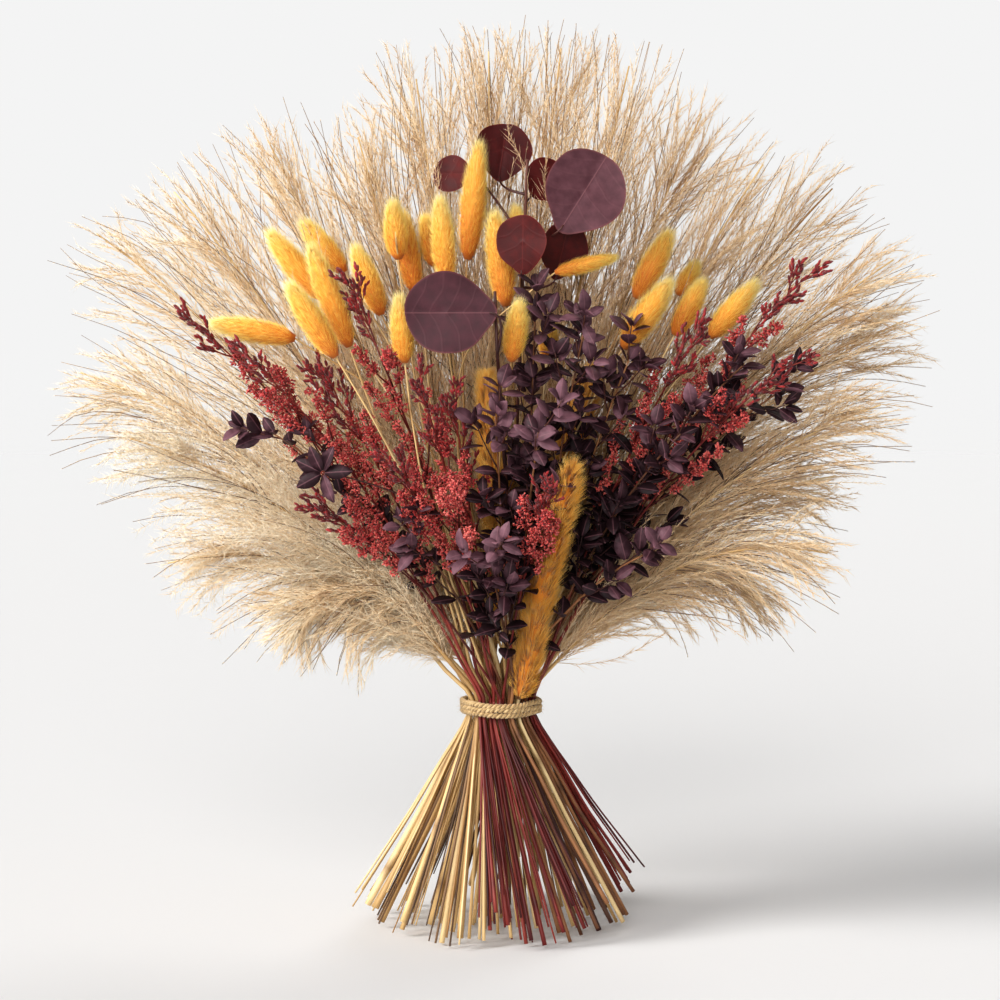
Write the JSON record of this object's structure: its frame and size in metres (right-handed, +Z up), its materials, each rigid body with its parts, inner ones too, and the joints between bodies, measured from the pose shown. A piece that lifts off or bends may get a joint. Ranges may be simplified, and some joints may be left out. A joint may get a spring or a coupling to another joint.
{
  "type": "bundle of pampas grass",
  "caption": "Tied bouquet of dried pampas grass with bunny tails, ochre plumes, red sprays, plum foliage and round leaves, standing on its spread cut stems.",
  "frame": {"origin": "middle of the footprint box, on the surface that the cut stems stand on", "axes": "+Z up along the bundle, +X to the right across the fan of plumes as seen from the front, +Y away from the front"},
  "size_m": [0.5284, 0.2936, 0.5507],
  "materials": {
    "pampas_grass": "feathery dried plume, cream to tan, matt",
    "bunny_tail_grass": "soft fine awns, yellow tips over orange",
    "ochre_grass": "feathered dyed plume, matt ochre",
    "red_spray": "dry budded sprays, coral to dark red",
    "plum_leaf": "dried leaves, mauve grey to dark plum, matt",
    "round_leaf": "preserved round leaves, plum with a paler rim, satin",
    "straw_stem": "dry straw, smooth with nodes",
    "jute_twine": "two-ply jute, hairy"
  },
  "bodies": {
    "root": {"pampas_01": "pampas_grass", "pampas_02": "pampas_grass", "pampas_03": "pampas_grass", "pampas_04": "pampas_grass", "pampas_05": "pampas_grass", "pampas_06": "pampas_grass", "pampas_07": "pampas_grass", "pampas_08": "pampas_grass", "pampas_09": "pampas_grass", "pampas_10": "pampas_grass", "pampas_11": "pampas_grass", "pampas_12": "pampas_grass", "pampas_13": "pampas_grass", "pampas_14": "pampas_grass", "pampas_15": "pampas_grass", "pampas_16": "pampas_grass", "pampas_17": "pampas_grass", "pampas_18": "pampas_grass", "pampas_19": "pampas_grass", "pampas_20": "pampas_grass", "pampas_21": "pampas_grass", "pampas_22": "pampas_grass", "pampas_23": "pampas_grass", "pampas_24": "pampas_grass", "pampas_25": "pampas_grass", "pampas_26": "pampas_grass", "bunny_tail_01": "bunny_tail_grass", "bunny_tail_02": "bunny_tail_grass", "bunny_tail_03": "bunny_tail_grass", "bunny_tail_04": "bunny_tail_grass", "bunny_tail_05": "bunny_tail_grass", "bunny_tail_06": "bunny_tail_grass", "bunny_tail_07": "bunny_tail_grass", "bunny_tail_08": "bunny_tail_grass", "bunny_tail_09": "bunny_tail_grass", "bunny_tail_10": "bunny_tail_grass", "bunny_tail_11": "bunny_tail_grass", "bunny_tail_12": "bunny_tail_grass", "bunny_tail_13": "bunny_tail_grass", "bunny_tail_14": "bunny_tail_grass", "bunny_tail_15": "bunny_tail_grass", "bunny_tail_16": "bunny_tail_grass", "bunny_tail_17": "bunny_tail_grass", "ochre_plume_1": "ochre_grass", "ochre_plume_2": "ochre_grass", "ochre_plume_3": "ochre_grass", "red_spray_1": "red_spray", "red_spray_2": "red_spray", "red_spray_3": "red_spray", "red_spray_4": "red_spray", "plum_foliage_1": "plum_leaf", "plum_foliage_2": "plum_leaf", "plum_foliage_3": "plum_leaf", "plum_foliage_4": "plum_leaf", "silver_dollar_1": "round_leaf", "silver_dollar_2": "round_leaf", "silver_dollar_3": "round_leaf", "straw_1": "straw_stem", "straw_2": "straw_stem", "twine": "jute_twine"}
  },
  "joints": []
}
